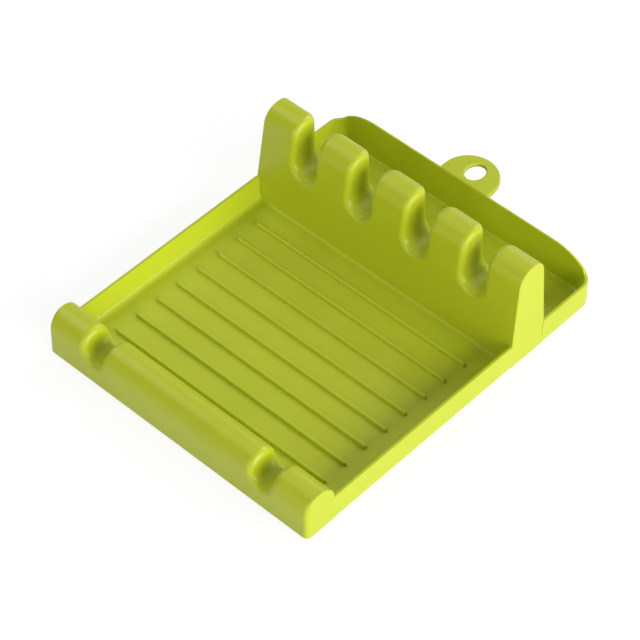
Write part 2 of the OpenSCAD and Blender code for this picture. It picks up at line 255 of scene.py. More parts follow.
class SpoonRest(bpy.types.PropertyGroup):
    """Everything a user can change"""

    tray: bpy.props.PointerProperty(name="Tray", description="Shared sizes", type=TraySizes)
    comb: bpy.props.PointerProperty(name="Comb", description="Comb sizes", type=CombSizes)
    lip: bpy.props.PointerProperty(name="Lip", description="Front lip sizes", type=LipSizes)
    small: bpy.props.PointerProperty(name="Small", description="Tab and ribs", type=SmallSizes)
    look: bpy.props.PointerProperty(name="Look", description="Colours and finish", type=PlasticLook)


def values(group):
    """The numbers of a property group as plain attributes."""
    return SimpleNamespace(**{name: getattr(group, name) for name in type(group).__annotations__})


def node_box(node):
    """Box of a CAD node with Y measured from the front of the tray."""
    low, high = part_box(node)
    return SimpleNamespace(
        left=low.x, right=high.x, front=low.y - FRONT_Y, rear=high.y - FRONT_Y, low=low.z, high=high.z
    )


def linear(code):
    """An sRGB hex code as linear red, green, blue and alpha."""
    srgb = np.array([int(code[i : i + 2], 16) for i in (1, 3, 5)]) / 255
    light = np.where(srgb <= 0.04045, srgb / 12.92, ((srgb + 0.055) / 1.055) ** 2.4)
    return (*light.tolist(), 1.0)


def add_node(tree, kind, settings=None, **links):
    """Adds one shader node: settings by attribute or input name, links by input name."""
    node = tree.nodes.new(kind)
    for key, value in (settings or {}).items():
        if hasattr(node, key):
            setattr(node, key, value)
        else:
            node.inputs[key].default_value = value
    for key, source in links.items():
        tree.links.new(source, node.inputs[key.replace("_", " ")])
    return node


def plastic_material(look):
    """Injection-moulded polypropylene: a waxy satin skin with broad soft highlights, colour that
    drifts a little along the melt's flow, and the fine spark-eroded grain of the steel tool."""
    material = bpy.data.materials.get("moulded_polypropylene")
    if material:
        return material
    material = bpy.data.materials.new("moulded_polypropylene")
    material.use_nodes = True
    tree = material.node_tree
    tree.nodes.clear()
    place = add_node(tree, "ShaderNodeTexCoord").outputs["Object"]
    flow = add_node(
        tree, "ShaderNodeTexNoise", {"Scale": 1 / FLOW_LENGTH, "Detail": 2.0}, Vector=place
    )
    polish = add_node(
        tree, "ShaderNodeTexNoise", {"Scale": 1 / POLISH_LENGTH, "Detail": 3.0}, Vector=place
    )
    grain = add_node(
        tree, "ShaderNodeTexNoise", {"Scale": 1 / GRAIN_LENGTH, "Detail": 1.0}, Vector=place
    )
    # A mix node's colour sockets come after those for numbers and vectors
    colour = add_node(tree, "ShaderNodeMix", {"data_type": "RGBA"})
    colour.inputs[6].default_value = linear(look.lime)
    colour.inputs[7].default_value = linear(look.lime_deep)
    tree.links.new(flow.outputs["Fac"], colour.inputs[0])
    rough = add_node(
        tree, "ShaderNodeMapRange",
        {"To Min": look.roughness - POLISH_SPREAD, "To Max": look.roughness + POLISH_SPREAD},
        Value=polish.outputs["Fac"],
    )
    bump = add_node(
        tree, "ShaderNodeBump", {"Strength": 0.04, "Distance": 0.1 * MM}, Height=grain.outputs["Fac"]
    )
    shader = add_node(
        tree, "ShaderNodeBsdfPrincipled",
        {"IOR": 1.49, "Subsurface Weight": 0.12, "Subsurface Scale": 1.5 * MM},
        Base_Color=colour.outputs[2], Roughness=rough.outputs["Result"], Normal=bump.outputs["Normal"],
    )
    shader.inputs["Subsurface Radius"].default_value = (1.0, 1.0, 0.25)
    add_node(tree, "ShaderNodeOutputMaterial", Surface=shader.outputs["BSDF"])
    return material


def piece(name, sheets, *nodes):
    """Joins grids of points into one closed, smooth mesh that stands for the named CAD nodes.

    Each sheet is an array of rows, columns and XYZ; neighbouring points make one four-sided face.
    Points that meet are merged, open ends are filled and faces are turned outwards.
    """
    points, quads, first = [], [], 0
    for sheet in sheets:
        rows, columns = sheet.shape[:2]
        index = first + np.arange(rows * columns).reshape(rows, columns)
        corners = [index[:-1, :-1], index[1:, :-1], index[1:, 1:], index[:-1, 1:]]
        quads.append(np.stack(corners, -1).reshape(-1, 4))
        points.append(sheet.reshape(-1, 3))
        first += rows * columns
    points = np.concatenate(points) + np.array([0.0, FRONT_Y, 0.0])
    quads = np.concatenate(quads)
    mesh = bpy.data.meshes.new(name)
    mesh.vertices.add(len(points))
    mesh.vertices.foreach_set("co", points.astype(np.float32).ravel())
    mesh.loops.add(quads.size)
    mesh.loops.foreach_set("vertex_index", quads.astype(np.int32).ravel())
    mesh.polygons.add(len(quads))
    mesh.polygons.foreach_set("loop_start", np.arange(0, quads.size, 4, dtype=np.int32))
    mesh.update(calc_edges=True)
    work = bmesh.new()
    work.from_mesh(mesh)
    bmesh.ops.remove_doubles(work, verts=work.verts, dist=MERGE)
    bmesh.ops.dissolve_degenerate(work, dist=MERGE / 10, edges=work.edges)
    bmesh.ops.holes_fill(work, edges=work.edges)
    bmesh.ops.recalc_face_normals(work, faces=work.faces)
    open_edges = sum(not edge.is_manifold for edge in work.edges)
    work.to_mesh(mesh)
    work.free()
    if open_edges:
        raise RuntimeError(f"{name} has {open_edges} open edges")
    mesh.shade_smooth()
    mesh.set_sharp_from_angle(angle=SHARP_EDGE)
    made = bpy.data.objects.new(name, mesh)
    bpy.context.scene.collection.objects.link(made)
    mesh.materials.append(plastic_material(values(bpy.context.scene.spoon_rest.look)))
    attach(made, "root")
    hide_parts(*nodes)
    return made


def face_in(side, z, inset):
    """How far a bar's face stands in from its foot at height z, drawn in by inset.

    The face is a leaning line up to where it touches the crown's circle, then that circle.
    """
    height, crown, tilt = side
    radius = crown - inset
    touch = height - crown + radius * sin(tilt)
    centre = (crown + (height - crown) * sin(tilt)) / cos(tilt)
    line = z * tan(tilt) + inset / cos(tilt)
    arc = centre - np.sqrt(np.clip(radius**2 - (z - height + crown) ** 2, 0.0, None))
    return np.where(z <= touch, line, arc)


def half_arch(side, inset, start):
    """One half of a bar's section from height start to its top, as (distance in, height).

    The leaning face runs up to the crown's circle, and the circle turns on to the level top.
    """
    height, crown, tilt = side
    centre_z = height - crown
    centre_u = (crown + centre_z * sin(tilt)) / cos(tilt)
    radius = crown - inset[..., -len(ARC_ROWS):]
    first = np.full_like(radius, tilt)
    parts = []
    if start < centre_z:
        inset = inset[..., :len(LINE_ROWS)]
        z = start + (centre_z + (crown - inset) * sin(tilt) - start) * LINE_ROWS
        parts.append(np.stack([z * tan(tilt) + inset / cos(tilt), z], -1))
    else:
        first = np.arcsin((start - centre_z) / radius)
    turn = first + (pi / 2 - first) * ARC_ROWS
    parts.append(np.stack([centre_u - radius * np.cos(turn), centre_z + radius * np.sin(turn)], -1))
    return np.concatenate(parts, -2)


def arch(bar, inset):
    """A bar's section from notch height at the front, over the top, to notch height at the rear.

    The last axis of inset is either one value or one for each row of the section.
    """
    rows = len(bar.rise)
    inset = np.broadcast_to(inset, (*inset.shape[:-1], rows))
    front = half_arch(bar.front, inset[..., : rows // 2], bar.notch_z)
    rear = half_arch(bar.rear, inset[..., : rows // 2 : -1], bar.notch_z)
    front[..., 0] = bar.y + front[..., 0]
    rear[..., 0] = bar.y + bar.depth - rear[..., 0]
    middle = (front[..., -1:, :] + rear[..., -1:, :]) / 2
    return np.concatenate([front, middle, rear[..., ::-1, :]], -2)


def section(bar, inset):
    """A bar's section from the notch cells' foot at the front over to their foot at the rear.

    The last axis of inset has one value for each row.
    """
    z = bar.notch_z - bar.half_cell * np.tan(bar.side_turns[:-1])
    z = np.broadcast_to(z, (*inset.shape[:-1], len(z)))
    front = np.stack([bar.y + face_in(bar.front, z, inset[..., : z.shape[-1]]), z], -1)
    rear_in = face_in(bar.rear, z, inset[..., -1 : -1 - z.shape[-1] : -1])
    rear = np.stack([bar.y + bar.depth - rear_in, z], -1)
    top = arch(bar, inset[..., z.shape[-1] : -z.shape[-1]])
    return np.concatenate([front, top, rear[..., ::-1, :]], -2)


def plain_foot(bar, side, inset, edge):
    """A bar's face from the cells' foot straight down to a rounded lower edge."""
    tilt = side[2]
    count = FOOT_ROWS - len(UNDER_TURNS)
    down = bar.low + (SINK + edge - bar.low) * np.linspace(0.0, 1.0, count)
    z = np.concatenate([down, SINK + edge - edge * np.sin(UNDER_TURNS)])
    curl = np.concatenate([np.zeros(count), edge - edge * np.cos(UNDER_TURNS)])
    u = z * tan(tilt) + inset / cos(tilt) + curl
    return np.stack([u, np.broadcast_to(z, u.shape)], -1)


def filleted_foot(bar, side, foot):
    """A bar's face down to a hollow radius, out along the floor and back underneath.

    The radius is a quarter turn or so about a point that lies one radius off the face and floor.
    """
    radius, flange = foot
    tilt = side[2]
    level = bar.floor - SINK
    centre_u = ((level + radius) * sin(tilt) - radius) / cos(tilt)
    turn = tilt + (pi / 2 - tilt) * FOOT_TURNS
    z = bar.low + (level + radius - radius * sin(tilt) - bar.low) * FOOT_LINE
    line = np.stack([z * tan(tilt), z], -1)
    hollow = np.stack([centre_u + radius * np.cos(turn), level + radius - radius * np.sin(turn)], -1)
    strip = np.array([
        [centre_u + (-flange - centre_u) * FLAT_ROWS[1], level],
        [-flange, level],
        [-flange - LAP, level - DIP],
        [-flange - LAP, SINK],
        [0.0, SINK],
    ])
    return np.concatenate([line, hollow, strip])


def profile(bar, inset, footed, skin):
    """A bar's whole section for each column, from its underside at the front to that at the rear.

    Inset has a row for each column and a value for each point of the section.
    """
    edge = bar.edge if skin == 0 else 0.0
    feet = []
    for side, foot, edge_in in (
        (bar.front, bar.front_foot, inset[:, :1]), (bar.rear, bar.rear_foot, inset[:, -1:])
    ):
        rows = plain_foot(bar, side, edge_in, edge)
        if foot and skin == 0:
            rows[footed] = filleted_foot(bar, side, foot)
        feet.append(rows)
    feet[0][..., 0] = bar.y + feet[0][..., 0]
    feet[1][..., 0] = bar.y + bar.depth - feet[1][..., 0]
    return np.concatenate([feet[0][:, ::-1], section(bar, inset), feet[1]], 1)


def notch_cell(bar, middle, skin):
    """The stretch of a bar round one notch, as a closed loop of rings.

    The loop runs under the notch at the front, up and over the right finger, under the notch at
    the rear and back over the left finger. The rings go from the cell's edge across the face,
    round the quarter circle that rolls the edge over, and along the notch's wall to its middle.
    """
    notch = bar.notch_r + skin

    def rings(reach, rim):
        """Distance from the notch's middle, and inset, of each ring."""
        rim = np.maximum(rim - skin, LEAST_RIM)[..., None]
        hole = notch + rim
        face = hole + (np.asarray(reach)[..., None] - hole) * FACE_RINGS
        roll = hole - rim * np.sin(RIM_TURNS)
        wall = np.full((*roll.shape[:-1], len(WALL_RINGS)), notch)
        deep = np.concatenate([0.0 * face, rim - rim * np.cos(RIM_TURNS), 0.0 * wall + rim], -1)
        return np.concatenate([face, roll, wall], -1), skin + deep

    fade = np.concatenate([np.zeros(len(FACE_RINGS) + len(RIM_TURNS)), WALL_RINGS])
    turn = bar.under_turns
    reach = np.minimum(
        bar.half_cell / np.maximum(np.abs(np.cos(turn)), MERGE),
        (bar.notch_z - bar.low) / np.maximum(np.abs(np.sin(turn)), MERGE),
    )
    under = []
    for side, rim, foot, way in (
        (bar.front, bar.front_rim, bar.y, 1), (bar.rear, bar.rear_rim, bar.y + bar.depth, -1)
    ):
        radius, inset = rings(reach, np.full(len(turn), rim))
        x = middle + radius * np.cos(turn)[:, None]
        z = bar.notch_z + radius * np.sin(turn)[:, None]
        y = foot + way * face_in(side, z, inset)
        under.append(np.stack([x, y + (bar.middle_y - y) * fade, z], -1))
    width, inset = rings(np.full(len(bar.rise), bar.half_cell), bar.rim_rows)
    upright = np.swapaxes(arch(bar, inset.T), 0, 1)
    goal_z = bar.notch_z + (bar.focus - bar.notch_z) * bar.rise
    goal = np.stack([np.full_like(goal_z, bar.middle_y), goal_z], -1)[:, None]
    upright = upright + (goal - upright) * fade[:, None]
    right = np.concatenate([(middle + width)[..., None], upright], -1)
    left = np.concatenate([(middle - width)[..., None], upright], -1)
    return np.concatenate([under[0], right, under[1][::-1], left[::-1], under[0][:1]])


def bar_surface(bar, skin):
    """All sheets of a bar's outer skin, or of the hollow one wall inside it, and its lower edge."""
    tan_draft = tan(bar.draft)
    round_r = bar.end_rows if skin == 0 else np.full_like(bar.end_rows, LEAST_RIM)
    foot_r = [np.full(FOOT_ROWS, round_r[0]), round_r, np.full(FOOT_ROWS, round_r[-1])]
    sheets, fronts, rears = [], [], []

    def keep(sheet):
        """Takes a sheet, and its first and last rows for the lower edge."""
        sheets.append(sheet)
        fronts.append(sheet[:, 0])
        rears.append(sheet[:, -1])

    def end(sign):
        """Columns from the last cell to the rounded edge of the end face, on one side."""
        near = [0.0, 0.5, FOOT_END_SHARE, FOOT_END_SHARE, 0.97]
        turn = np.concatenate([np.zeros(len(near) + 1), END_TURNS])[:, None]
        shares = np.concatenate([near, np.ones(1 + len(END_TURNS))])[:, None]
        footed = np.arange(len(turn)) < FOOTED_COLUMNS
        yz = profile(bar, skin + round_r - round_r * np.cos(turn), footed, skin)
        rounding = np.concatenate(foot_r)
        inner = bar.half_width - skin - rounding - yz[..., 1] * tan_draft
        x = bar.cells_end + (inner - bar.cells_end) * shares + rounding * np.sin(turn)
        return np.concatenate([sign * x[..., None], yz], -1)

    def stretch(places, footed):
        """Columns of the plain section at the given places along the bar."""
        yz = profile(bar, np.full((len(places), len(round_r)), skin), footed, skin)
        x = np.broadcast_to(places[:, None], yz.shape[:2])
        return np.concatenate([x[..., None], yz], -1)

    left, right = end(-1.0)[::-1], end(1.0)
    keep(left)
    low_turns = bar.under_turns[CELL_SIDE_STEPS : CELL_SIDE_STEPS + CELL_LOW_STEPS + 1]
    spread = (bar.notch_z - bar.low) * np.cos(low_turns) / -np.sin(low_turns)
    for i, middle in enumerate(bar.middles):
        if i and middle - bar.middles[i - 1] > 2 * bar.half_cell + MERGE:
            places = np.linspace(bar.middles[i - 1] + bar.half_cell, middle - bar.half_cell, 9)
            keep(stretch(places, np.full(len(places), True)))
        sheets.append(notch_cell(bar, middle, skin))
        feet = stretch(middle + spread, np.full(len(spread), True))
        sheets += [feet[:, :FOOT_ROWS + 1], feet[:, -FOOT_ROWS - 1:]]
        fronts.append(feet[:, 0])
        rears.append(feet[:, -1])
    keep(right)
    caps = []
    for column in (left[0], right[-1]):
        half = len(column) // 2
        front, rear = column[: half + 1], column[::-1][: half + 1]
        caps.append(front[:, None] + (rear - front)[:, None] * CAP_SHARES[:, None])
    lower = [*fronts, caps[1][0], np.concatenate(rears)[::-1], caps[0][0][::-1]]
    return sheets + caps, np.concatenate(lower)


def bar_piece(name, bar, *nodes):
    """A hollow notched bar: its outer skin, the hollow one wall inside it and the rim underneath."""
    outer, outer_edge = bar_surface(bar, 0.0)
    inner, inner_edge = bar_surface(bar, bar.floor)
    piece(name, [*outer, *inner, np.stack([outer_edge, inner_edge])], *nodes)


def bar_from(sizes, tray, middles, half_cell, front_foot, rear_foot):
    """Gathers what the bar functions need from the property groups."""
    notch_z = sizes.notch_floor + sizes.notch
    corner = atan2(notch_z - sizes.low, half_cell)
    turns = np.concatenate([
        pi + np.linspace(0.0, corner, CELL_SIDE_STEPS + 1)[:-1],
        pi + np.linspace(corner, pi - corner, CELL_LOW_STEPS + 1)[:-1],
        pi + np.linspace(pi - corner, pi, CELL_SIDE_STEPS + 1),
    ])
    centre_z = sizes.height - max(sizes.front_crown, sizes.rear_crown)
    faced = notch_z < centre_z
    ones = np.ones(len(ARC_ROWS))
    lines = LINE_ROWS if faced else LINE_ROWS[:0]
    rise = [lines, ones, [1.0], ones, lines[::-1]]
    # Front roundings pass into those of the top over the front crown, and those into the rear ones
    over = ARC_ROWS**2 * (3 - 2 * ARC_ROWS)
    share_front = np.concatenate([0.0 * lines + 1.0, 1.0 - over, [0.0], 0.0 * ones, 0.0 * lines])
    share_rear = share_front[::-1]
    end_rows = (
        sizes.end_top
        + (sizes.end_front - sizes.end_top) * share_front
        + (sizes.end_rear - sizes.end_top) * share_rear
    )
    side_rows = (np.full(CELL_SIDE_STEPS, sizes.end_front), np.full(CELL_SIDE_STEPS, sizes.end_rear))
    return SimpleNamespace(
        y=sizes.front,
        depth=sizes.depth,
        front=(sizes.height, sizes.front_crown, sizes.front_lean),
        rear=(sizes.height, sizes.rear_crown, sizes.rear_lean),
        notch_r=sizes.notch,
        notch_z=notch_z,
        front_rim=sizes.front_rim,
        rear_rim=sizes.rear_rim,
        rim_rows=sizes.front_rim + (sizes.rear_rim - sizes.front_rim) * share_rear,
        low=sizes.low,
        half_cell=half_cell,
        middles=middles,
        cells_end=middles[-1] + half_cell,
        under_turns=turns,
        side_turns=np.linspace(corner, 0.0, CELL_SIDE_STEPS + 1),
        middle_y=sizes.front + sizes.depth / 2,
        focus=centre_z if faced else notch_z,
        rise=np.concatenate(rise),
        floor=tray.floor,
        half_width=tray.width / 2,
        draft=sizes.end_draft,
        edge=tray.edge,
        end_rows=np.concatenate([side_rows[0], end_rows, side_rows[1]]),
        front_foot=front_foot,
        rear_foot=rear_foot,
    )


def wall_rows(tray, height, wall, strip):
    """Section of a tray wall at each place along it, as (distance in, height) by row and place.

    The wall is given as full height, slope of the inner face, thickness at the top and foot
    radius. From the underside: a rounded lower edge, the drafted outer face, a flat top between
    two small radii, the sloping inner face, a quarter turn into the floor and a strip under it.
    """
    top, slope, rim, radius = wall
    height = np.asarray(height, float)[None, :]
    one = np.ones_like(height)
    draft = tan(tray.draft)
    crest = tray.rim_edge
    foot = top * draft + rim + (top - tray.floor) * tan(slope)
    reach = foot + radius * tan((pi / 2 - slope) / 2)
    meet = tray.floor + radius * (1 - sin(slope))
    turn = UNDER_TURNS[:, None] * one
    z_edge = tray.edge - tray.edge * np.cos(turn)
    in_edge = tray.edge - tray.edge * np.sin(turn) + z_edge * draft
    z_out = tray.edge + (height - crest - tray.edge) * FLAT_ROWS[:, None]
    roll = np.linspace(0.0, pi / 2, 6)[:, None]
    z_roll = height - crest + crest * np.concatenate([np.sin(roll)[1:], np.cos(roll)])
    in_out = (height - crest) * draft
    in_in = foot - (height - crest - tray.floor) * tan(slope)
    in_roll = np.concatenate([
        in_out + crest * (1 - np.cos(roll))[1:],
        in_in - crest * (1 - np.sin(roll)),
    ])
    z_in = height - crest + (meet - height + crest) * FLAT_ROWS[:, None]
    curve = ((pi / 2 - slope) * np.linspace(1.0, 0.0, 10)[1:, None]) * one
    z_foot = tray.floor + radius - radius * np.cos(curve)
    in_foot = reach - radius * np.sin(curve)
    tail_in = np.array([strip, strip + LAP, strip + LAP, tray.edge])[:, None] * one
    tail_z = np.array([tray.floor, tray.floor - DIP, 0.0, 0.0])[:, None] * one
    inset = [in_edge, z_out * draft, in_roll, foot - (z_in - tray.floor) * tan(slope), in_foot, tail_in]
    level = [z_edge, z_out, z_roll, z_in, z_foot, tail_z]
    return np.concatenate(inset), np.concatenate(level), [len(part) for part in inset]


def side_wall(tray):
    """Full height, slope, thickness at the top and foot radius of a side wall."""
    return tray.side_height, tray.side_slope, tray.rim, tray.foot_radius


def shoulder_height(tray, along):
    """Top of the back wall at a distance in from its end: level, then up a circle, then level."""
    run = np.sqrt(tray.shoulder**2 - (tray.shoulder - tray.back_height + tray.side_height) ** 2)
    out = np.clip(run + tray.shoulder_start - along, 0.0, None)
    rise = np.sqrt(tray.shoulder**2 - np.minimum(out, tray.shoulder) ** 2)
    circle = tray.back_height - tray.shoulder + rise
    apart = np.clip(tray.shoulder_blend - np.abs(circle - tray.side_height), 0.0, None)
    return np.maximum(circle, tray.side_height) + apart**2 / (4 * tray.shoulder_blend)


class SPOONREST_OT_floors(bpy.types.Operator):
    """Finish the flat floors of the tray and the lid channel"""

    bl_idname = "spoon_rest.floors"
    bl_label = "Floors"

    def execute(self, context):
        """The CAD plates are right as they are, and get the plastic."""
        for name in ("tray_floor", "lid_channel_floor"):
            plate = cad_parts[name]
            plate.data.materials.clear()
            plate.data.materials.append(plastic_material(values(context.scene.spoon_rest.look)))
        return {"FINISHED"}


class SPOONREST_OT_side_walls(bpy.types.Operator):
    """Mould the two side walls of the tray"""

    bl_idname = "spoon_rest.side_walls"
    bl_label = "Side walls"

    def execute(self, context):
        """The wall's section carried straight along Y, from inside the lip to inside the comb.

        Both ends are drawn in by a hair, so that they don't share a face with the lip and the comb.
        """
        rest = context.scene.spoon_rest
        tray, comb, lip = values(rest.tray), values(rest.comb), values(rest.lip)
        strip = tray.width / 2 - node_box("tray_floor").right
        tuck = 0.9 * tray.floor
        open_run = np.linspace(lip.depth, comb.front, 7)
        places = np.concatenate([[lip.depth - tuck], open_run, [comb.front + tuck]])
        heights = np.full(len(places), tray.side_height)
        inset, z, _ = wall_rows(tray, heights, side_wall(tray), strip)
        inset[:, [0, -1]] += DIP
        y = np.broadcast_to(places, z.shape)
        for name, sign in (("left_tray_wall", -1.0), ("right_tray_wall", 1.0)):
            skin = np.stack([sign * (tray.width / 2 - inset), y, z], -1)
            piece(name + "_moulding", [skin], name)
        return {"FINISHED"}


class SPOONREST_OT_back_wall(bpy.types.Operator):
    """Mould the wall round the lid channel, with the backboard's shoulders"""

    bl_idname = "spoon_rest.back_wall"
    bl_label = "Back wall"

    def execute(self, context):
        """The wall's section carried round a rounded rectangle whose top follows the shoulders."""
        rest = context.scene.spoon_rest
        tray, comb = values(rest.tray), values(rest.comb)
        floor = node_box("lid_channel_floor")
        tuck = 0.7 * tray.floor
        half, start = tray.width / 2, comb.front + comb.depth - tuck
        run = np.linspace(0.0, 1.0, 6)[:-1]
        turn = np.linspace(0.0, pi / 2, 13)
        ends = np.linspace(0.0, 0.2, 25)
        rear = np.concatenate([ends, np.linspace(0.2, 0.5, 7)[1:]])[1:]
        # Half the path: straight share, corner angle and share of the way to the middle of the rear
        straight = np.concatenate([run, np.ones(len(turn) + len(rear))])
        corner = np.concatenate([np.zeros(len(run)), turn, np.full(len(rear), pi / 2)])
        inward = np.concatenate([np.zeros(len(run) + len(turn)), rear])
        along = tray.corner * (1 - np.cos(corner)) + (2 * half - 2 * tray.corner) * inward
        height = np.where(straight < 1, tray.side_height, shoulder_height(tray, along))
        back = (tray.back_height, tray.back_slope, tray.back_rim, tray.back_foot)
        side_in, side_z, count = wall_rows(tray, height, side_wall(tray), half - floor.right)
        rear_in, rear_z, _ = wall_rows(tray, height, back, tray.depth - floor.rear)
        share_rear = corner / (pi / 2)
        z = side_z + (rear_z - side_z) * share_rear
        draft = tan(tray.draft)
        roll = np.linspace(0.0, 1.0, count[2] + 1)[1:]
        face_z = z[count[0] : sum(count[:2])].max(1)
        outer = tray.corner - np.concatenate([side_in[: count[0], 0], face_z * draft])
        rolled = outer[-1] + (tray.inner_corner - outer[-1]) * roll
        radius = np.concatenate([
            outer, rolled, np.full(count[3] + count[4], tray.inner_corner),
            [LEAST_RIM, LEAST_RIM / 2, LEAST_RIM / 2, tray.corner - tray.edge],
        ])[:, None]
        x = half - side_in - radius * (1 - np.cos(corner))
        x = x - 2 * (half - side_in - radius) * inward
        y = start + (tray.depth - rear_in - radius - start) * straight + radius * np.sin(corner)
        left = np.stack([-x, y, z], -1)
        right = np.stack([x, y, z], -1)
        skin = np.concatenate([left, right[:, -2::-1]], 1)
        piece("back_wall_moulding", [skin], "left_channel_wall", "right_channel_wall", "backboard")
        return {"FINISHED"}


class SPOONREST_OT_front_lip(bpy.types.Operator):
    """Mould the rounded front lip with its two notches"""

    bl_idname = "spoon_rest.front_lip"
    bl_label = "Front lip"

    def execute(self, context):
        """A hollow bar with two rolled notches and one hollow foot."""
        rest = context.scene.spoon_rest
        tray, lip = values(rest.tray), values(rest.lip)
        foot = (lip.foot_radius, node_box("tray_floor").front - lip.depth)
        middles = [-lip.pitch / 2, lip.pitch / 2]
        bar = bar_from(lip, tray, middles, lip.half_cell, None, foot)
        crests = [f"lip_crest_{i}" for i in range(1, 4)]
        bar_piece("front_lip_moulding", bar, "front_lip", *crests)
        return {"FINISHED"}


class SPOONREST_OT_comb(bpy.types.Operator):
    """Mould the comb of five fingers with its four rolled notches"""

    bl_idname = "spoon_rest.comb"
    bl_label = "Comb"

    def execute(self, context):
        """A hollow bar with four rolled notches side by side and a hollow foot on both sides."""
        rest = context.scene.spoon_rest
        tray, comb = values(rest.tray), values(rest.comb)
        front_foot = (comb.foot_radius, comb.front - node_box("tray_floor").rear)
        rear_foot = (comb.foot_radius, node_box("lid_channel_floor").front - comb.front - comb.depth)
        middles = [(i - 1.5) * comb.pitch for i in range(4)]
        bar = bar_from(comb, tray, middles, comb.pitch / 2, front_foot, rear_foot)
        fingers = [f"comb_finger_{i}" for i in range(1, 6)]
        bar_piece("comb_moulding", bar, "comb_base", *fingers)
        return {"FINISHED"}


class SPOONREST_OT_tab(bpy.types.Operator):
    """Mould the hanging tab with its hole"""

    bl_idname = "spoon_rest.tab"
    bl_label = "Hanging tab"

    def execute(self, context):
        """A rounded edge section carried round the tab's outline and its hole in one closed sheet."""
        rest = context.scene.spoon_rest
        tray, small = values(rest.tray), values(rest.small)
        box = node_box("hanging_tab")
        half, tip = box.right, box.rear - box.right
        root = tray.depth - box.high * tan(tray.draft) - small.tab_root
        hole = np.array([0.0, box.rear - small.tab_hole_in])
        edge = small.tab_edge
        turn = np.linspace(0.0, pi, 49)
        quarter = np.linspace(0.0, pi / 2, 6)

        def outline(inset):
            """The tab's outline drawn in by inset, from one end of its root round to the other."""
            sides = np.linspace(root, tip, 5)[:-1]
            right = np.stack([np.full_like(sides, half - inset), sides], -1)
            tip_round = np.stack([(half - inset) * np.cos(turn), tip + (half - inset) * np.sin(turn)], -1)
            left = right[::-1] * np.array([-1.0, 1.0])
            base = np.linspace(-1.0, 1.0, 9)[1:-1]
            foot = np.stack([(half - inset) * base, np.full_like(base, root)], -1)
            return np.concatenate([right, tip_round, left, foot, right[:1]])

        def hole_ring(inset):
            """The oval hole's edge moved out by inset, at the bearings of the outline's points."""
            oval = np.array([small.tab_hole, small.tab_hole_long]) + inset
            bearing = outline(0.0) - hole
            return hole + bearing / np.linalg.norm(bearing / oval, axis=1)[:, None]

        rings = []
        for level, up in ((box.high, 1.0), (box.low, -1.0)):
            turns = quarter if up > 0 else quarter[::-1]
            bend = [(edge - edge * sin(t), level - up * (edge - edge * cos(t))) for t in turns]
            hole_bend = bend[::-1]
            flat = [(s, level) for s in CAP_SHARES[1:-1]]
            part = [(hole_ring(i), z) for i, z in hole_bend]
            part += [(hole_ring(edge) + (outline(edge) - hole_ring(edge)) * s, z) for s, z in flat]
            part += [(outline(i), z) for i, z in bend]
            rings += part if up > 0 else part[::-1]
        rings.append(rings[0])
        skin = np.stack([np.concatenate([ring, np.full((len(ring), 1), z)], 1) for ring, z in rings])
        piece("hanging_tab_moulding", [skin], "hanging_tab")
        return {"FINISHED"}


class SPOONREST_OT_ribs(bpy.types.Operator):
    """Mould the eight drip ribs on the tray's floor"""

    bl_idname = "spoon_rest.ribs"
    bl_label = "Drip ribs"

    def execute(self, context):
        """Stadium rings that draw in and up: leaning sides, then a rounded top down to a line."""
        small = values(context.scene.spoon_rest.small)
        taper = small.rib_taper
        half_turn = np.linspace(-pi / 2, pi / 2, RIB_END_STEPS)
        turn = np.concatenate([half_turn, half_turn + pi, half_turn[:1]])
        sign = np.repeat([1.0, -1.0, 1.0], [RIB_END_STEPS, RIB_END_STEPS, 1])
        roll = np.linspace(0.0, pi / 2, 8)[1:]
        for i in range(1, RIB_COUNT + 1):
            box = node_box(f"drip_rib_{i}")
            half = (box.rear - box.front) / 2
            middle = (box.rear + box.front) / 2
            shoulder = box.low + small.rib_shoulder
            inset = np.concatenate([[0.0, 0.0, taper], taper + (half - taper) * (1 - np.cos(roll))])
            top = shoulder + (box.high - shoulder) * np.sin(roll)
            z = np.concatenate([[box.low - DIP, box.low, shoulder], top])[:, None]
            reach = (half - inset)[:, None]
            x = sign * (box.right - half) + reach * np.cos(turn)
            y = middle + reach * np.sin(turn)
            skin = np.stack([x, y, np.broadcast_to(z, x.shape)], -1)
            piece(f"drip_rib_{i}_moulding", [skin], f"drip_rib_{i}")
        return {"FINISHED"}


